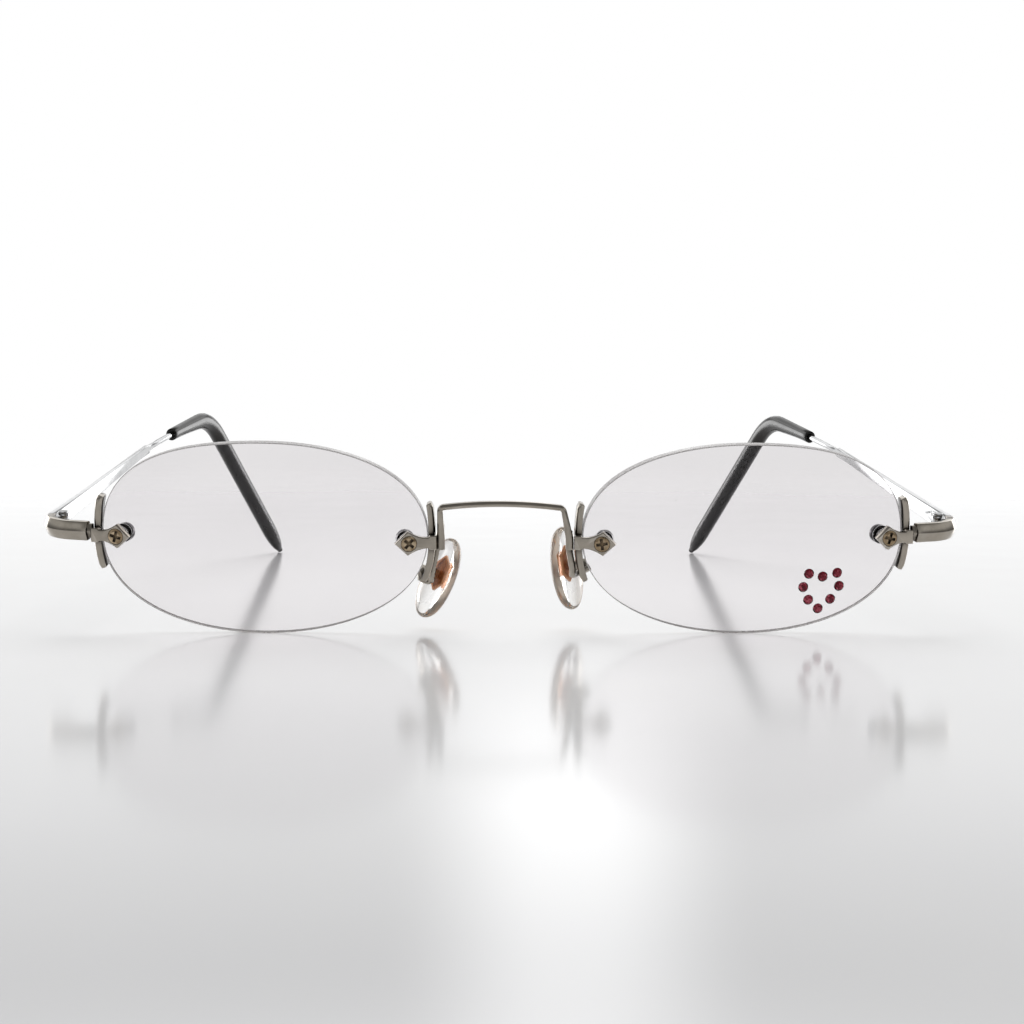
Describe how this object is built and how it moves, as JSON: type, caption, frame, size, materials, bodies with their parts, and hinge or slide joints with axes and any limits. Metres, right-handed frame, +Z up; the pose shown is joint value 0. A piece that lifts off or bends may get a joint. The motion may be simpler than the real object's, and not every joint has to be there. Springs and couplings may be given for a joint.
{
  "type": "sunglasses",
  "caption": "Rimless oval sunglasses with drilled pale lenses, slim metal bridge, folding temples with black tips, rocking clear nose pads and a heart of red stones on a lens.",
  "frame": {"origin": "middle of the open glasses' bounding box, on the table they stand on", "axes": "+X to the wearer's left, +Y back along the temples, +Z up from the table"},
  "size_m": [0.1374, 0.1412, 0.0312],
  "materials": {
    "lens": "pale rose-grey tint, polished",
    "nickel": "gunmetal nickel plating, polished",
    "screw_metal": "dull brass",
    "nut_steel": "dark nickel",
    "clear_plastic": "clear",
    "silicone": "clear silicone, glossy",
    "copper": "copper-coloured plate",
    "tip_plastic": "black, glossy",
    "stone": "faceted, deep red"
  },
  "bodies": {
    "front": {"bridge": "nickel", "left_lens": "lens", "left_temple_brace": "nickel", "left_nose_brace": "nickel", "left_temple_strap": "nickel", "left_temple_lens_screw": "screw_metal", "left_temple_lens_washer": "clear_plastic", "left_temple_lens_bushing": "clear_plastic", "left_temple_lens_nut": "nut_steel", "left_nose_strap": "nickel", "left_nose_lens_screw": "screw_metal", "left_nose_lens_washer": "clear_plastic", "left_nose_lens_bushing": "clear_plastic", "left_nose_lens_nut": "nut_steel", "heart_stone_1": "stone", "heart_stone_2": "stone", "heart_stone_3": "stone", "heart_stone_4": "stone", "heart_stone_5": "stone", "heart_stone_6": "stone", "heart_stone_7": "stone", "heart_stone_8": "stone", "left_end_piece": "nickel", "left_hinge_front_leaf": "nickel", "left_hinge_screw": "screw_metal", "left_pad_arm": "nickel", "left_pad_screw": "screw_metal", "right_lens": "lens", "right_temple_brace": "nickel", "right_nose_brace": "nickel", "right_temple_strap": "nickel", "right_temple_lens_screw": "screw_metal", "right_temple_lens_washer": "clear_plastic", "right_temple_lens_bushing": "clear_plastic", "right_temple_lens_nut": "nut_steel", "right_nose_strap": "nickel", "right_nose_lens_screw": "screw_metal", "right_nose_lens_washer": "clear_plastic", "right_nose_lens_bushing": "clear_plastic", "right_nose_lens_nut": "nut_steel", "right_end_piece": "nickel", "right_hinge_front_leaf": "nickel", "right_hinge_screw": "screw_metal", "right_pad_arm": "nickel", "right_pad_screw": "screw_metal"},
    "temple_left": {"left_hinge_temple_leaf": "nickel", "left_temple": "nickel", "left_temple_tip": "tip_plastic"},
    "pad_left": {"left_pad_insert": "copper", "left_nose_pad": "silicone"},
    "temple_right": {"right_hinge_temple_leaf": "nickel", "right_temple": "nickel", "right_temple_tip": "tip_plastic"},
    "pad_right": {"right_pad_insert": "copper", "right_nose_pad": "silicone"}
  },
  "joints": [
    {"name": "left_temple_fold", "type": "hinge", "parent": "front", "child": "temple_left", "pos_m": [0.06607, -0.06021, 0.01588], "axis": [0, -0.1375, 0.9905], "range_deg": [0, 84]},
    {"name": "right_temple_fold", "type": "hinge", "parent": "front", "child": "temple_right", "pos_m": [-0.06607, -0.06021, 0.01588], "axis": [0, 0.1375, -0.9905], "range_deg": [0, 80]},
    {"name": "left_pad_rock", "type": "hinge", "parent": "front", "child": "pad_left", "pos_m": [0.01135, -0.06068, 0.00965], "axis": [-0.5299, -0.84, -0.1166], "range_deg": [-4, 20]},
    {"name": "right_pad_rock", "type": "hinge", "parent": "front", "child": "pad_right", "pos_m": [-0.01135, -0.06054, 0.00866], "axis": [-0.5299, 0.84, 0.1166], "range_deg": [-20, 4]}
  ]
}
